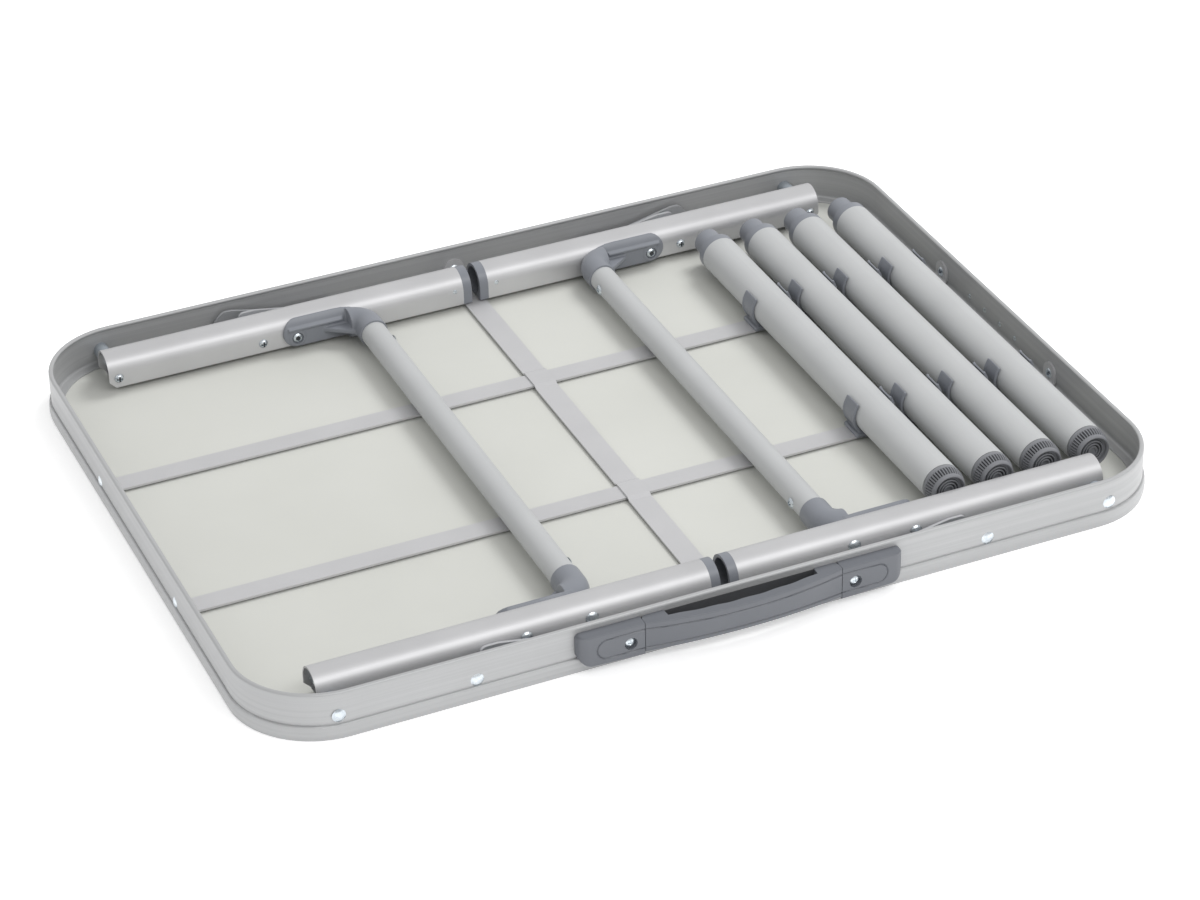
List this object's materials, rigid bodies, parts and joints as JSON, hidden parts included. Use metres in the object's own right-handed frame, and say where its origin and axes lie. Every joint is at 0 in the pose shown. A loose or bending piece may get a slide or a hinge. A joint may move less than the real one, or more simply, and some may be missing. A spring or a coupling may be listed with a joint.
{
  "type": "folding table",
  "caption": "Folding camping table shown folded, open side up: aluminium rim and board, hinged leg frames with folding braces, loose legs in clips, carrying handle.",
  "frame": {"origin": "centre of the table top's face, which lies down when the table is folded open side up", "axes": "+X along the long side, -Y towards the carrying handle, +Z away from the table top's face, to the open side with the leg frames"},
  "size_m": [0.8, 0.618, 0.0465],
  "materials": {
    "laminate_board": "light grey melamine-faced board, satin",
    "rim_aluminium": "satin silver-grey coated extrusion",
    "strip_aluminium": "satin mill finish",
    "link_aluminium": "satin stamped",
    "rail_aluminium": "bright satin anodised",
    "tube_aluminium": "satin anodised",
    "moulded_plastic": "blue-grey moulded, fine texture",
    "foot_plastic": "dark grey moulded",
    "zinc_steel": "zinc plated"
  },
  "bodies": {
    "table": {"top_panel": "laminate_board", "edge_frame": "rim_aluminium", "support_strip_far": "strip_aluminium", "support_strip_near": "strip_aluminium", "cross_strip": "strip_aluminium", "strip_bolts": "zinc_steel", "wall_rivets": "zinc_steel", "pivot_spacers": "moulded_plastic", "pivot_bolts": "zinc_steel", "brace_rivets": "zinc_steel", "handle_cap_left": "moulded_plastic", "handle_cap_right": "moulded_plastic", "handle_grip": "moulded_plastic", "handle_screws": "zinc_steel", "leg_clips_1": "moulded_plastic", "leg_clips_2": "moulded_plastic", "leg_clips_3": "moulded_plastic", "leg_clips_4": "moulded_plastic"},
    "left_frame": {"rail_left_far": "rail_aluminium", "rail_left_near": "rail_aluminium", "socket_left_far": "moulded_plastic", "socket_left_near": "moulded_plastic", "elbow_left_far": "moulded_plastic", "elbow_left_near": "moulded_plastic", "crossbar_left": "tube_aluminium", "frame_screws_left": "zinc_steel", "brace_pins_left": "zinc_steel"},
    "left_rim_links": {"rim_link_left_far": "link_aluminium", "rim_link_left_near": "link_aluminium"},
    "left_rail_links": {"rail_link_left_far": "link_aluminium", "rail_link_left_near": "link_aluminium"},
    "right_frame": {"rail_right_far": "rail_aluminium", "rail_right_near": "rail_aluminium", "socket_right_far": "moulded_plastic", "socket_right_near": "moulded_plastic", "elbow_right_far": "moulded_plastic", "elbow_right_near": "moulded_plastic", "crossbar_right": "tube_aluminium", "frame_screws_right": "zinc_steel", "brace_pins_right": "zinc_steel"},
    "right_rim_links": {"rim_link_right_far": "link_aluminium", "rim_link_right_near": "link_aluminium"},
    "right_rail_links": {"rail_link_right_far": "link_aluminium", "rail_link_right_near": "link_aluminium"},
    "leg_1": {"leg_tube_1": "tube_aluminium", "leg_plug_1": "moulded_plastic"},
    "foot_1": {"leg_foot_1": "foot_plastic"},
    "leg_2": {"leg_tube_2": "tube_aluminium", "leg_plug_2": "moulded_plastic"},
    "foot_2": {"leg_foot_2": "foot_plastic"},
    "leg_3": {"leg_tube_3": "tube_aluminium", "leg_plug_3": "moulded_plastic"},
    "foot_3": {"leg_foot_3": "foot_plastic"},
    "leg_4": {"leg_tube_4": "tube_aluminium", "leg_plug_4": "moulded_plastic"},
    "foot_4": {"leg_foot_4": "foot_plastic"}
  },
  "joints": [
    {"name": "left_fold", "type": "hinge", "parent": "table", "child": "left_frame", "pos_m": [-0.334, 0, 0.0205], "axis": [0, -1, 0], "range_deg": [0, 90]},
    {"name": "left_rim_link_turn", "type": "hinge", "parent": "table", "child": "left_rim_links", "pos_m": [-0.222, 0, 0.0185], "axis": [0, -1, 0], "range_deg": [-0.5, 132.5]},
    {"name": "left_rail_link_turn", "type": "hinge", "parent": "left_frame", "child": "left_rail_links", "pos_m": [-0.202, 0, 0.0205], "axis": [0, -1, 0], "range_deg": [-136.6, 0.5]},
    {"name": "right_fold", "type": "hinge", "parent": "table", "child": "right_frame", "pos_m": [0.334, 0, 0.0205], "axis": [0, 1, 0], "range_deg": [0, 90]},
    {"name": "right_rim_link_turn", "type": "hinge", "parent": "table", "child": "right_rim_links", "pos_m": [0.222, 0, 0.0185], "axis": [0, 1, 0], "range_deg": [-0.5, 132.5]},
    {"name": "right_rail_link_turn", "type": "hinge", "parent": "right_frame", "child": "right_rail_links", "pos_m": [0.202, 0, 0.0205], "axis": [0, 1, 0], "range_deg": [-136.6, 0.5]},
    {"name": "leg_lift_1", "type": "slide", "parent": "table", "child": "leg_1", "axis": [0, 0, 1], "range_m": [0, 0.06], "deforming": ["leg_clips_1"]},
    {"name": "foot_turn_1", "type": "hinge", "parent": "leg_1", "child": "foot_1", "pos_m": [0.219, 0, 0.0293], "axis": [0, 1, 0], "range_deg": [0, 720]},
    {"name": "leg_lift_2", "type": "slide", "parent": "table", "child": "leg_2", "axis": [0, 0, 1], "range_m": [0, 0.06], "deforming": ["leg_clips_2"]},
    {"name": "foot_turn_2", "type": "hinge", "parent": "leg_2", "child": "foot_2", "pos_m": [0.264, 0, 0.0293], "axis": [0, 1, 0], "range_deg": [0, 720]},
    {"name": "leg_lift_3", "type": "slide", "parent": "table", "child": "leg_3", "axis": [0, 0, 1], "range_m": [0, 0.06], "deforming": ["leg_clips_3"]},
    {"name": "foot_turn_3", "type": "hinge", "parent": "leg_3", "child": "foot_3", "pos_m": [0.309, 0, 0.0293], "axis": [0, 1, 0], "range_deg": [0, 720]},
    {"name": "leg_lift_4", "type": "slide", "parent": "table", "child": "leg_4", "axis": [0, 0, 1], "range_m": [0, 0.06], "deforming": ["leg_clips_4"]},
    {"name": "foot_turn_4", "type": "hinge", "parent": "leg_4", "child": "foot_4", "pos_m": [0.354, 0, 0.0293], "axis": [0, 1, 0], "range_deg": [0, 720]}
  ],
  "couplings": [
    {"joint": "left_rim_link_turn", "follows": "left_fold", "ratio": 1.4662},
    {"joint": "left_rail_link_turn", "follows": "left_fold", "ratio": -1.5115},
    {"joint": "right_rim_link_turn", "follows": "right_fold", "ratio": 1.4662},
    {"joint": "right_rail_link_turn", "follows": "right_fold", "ratio": -1.5115}
  ]
}
